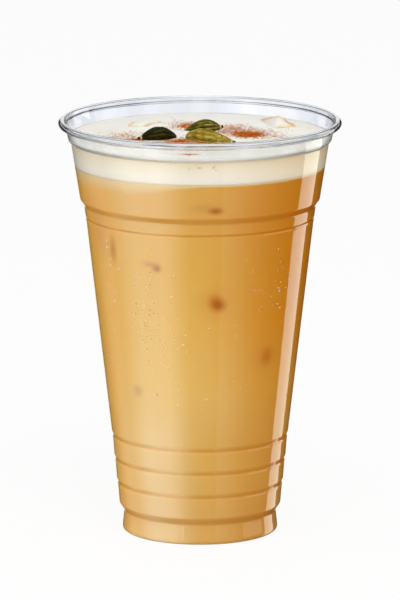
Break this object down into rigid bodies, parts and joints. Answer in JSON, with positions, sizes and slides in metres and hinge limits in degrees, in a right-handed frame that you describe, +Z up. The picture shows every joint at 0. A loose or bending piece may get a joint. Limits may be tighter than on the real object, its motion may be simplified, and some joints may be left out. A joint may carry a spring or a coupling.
{
  "type": "iced coffee in a clear plastic cup",
  "caption": "Milky iced coffee with a layer of cold foam, ice and cardamom pods, in a tall tapered clear plastic cup with a rolled rim, a stacking ledge and ribs.",
  "frame": {"origin": "centre of the foot ring that the cup stands on, at table height", "axes": "+Z up along the cup's axis, -Y towards the side that is seen first"},
  "size_m": [0.098, 0.098, 0.145],
  "materials": {
    "cup_plastic": "clear thermoformed plastic, glossy",
    "milk_coffee": "milky coffee, opaque golden tan",
    "cold_foam": "fine milk foam, soft ivory",
    "dark_husk": "dry ridged husk, very dark olive green",
    "green_husk": "dry ridged husk, olive green",
    "pale_husk": "dry ridged husk, pale yellow green",
    "ice": "melting ice under a film of milk"
  },
  "bodies": {
    "root": {"cup": "cup_plastic", "drink": "milk_coffee", "foam": "cold_foam", "pod_left": "dark_husk", "pod_back": "green_husk", "pod_front": "pale_husk", "ice_right": "ice", "ice_left": "ice"}
  },
  "joints": []
}
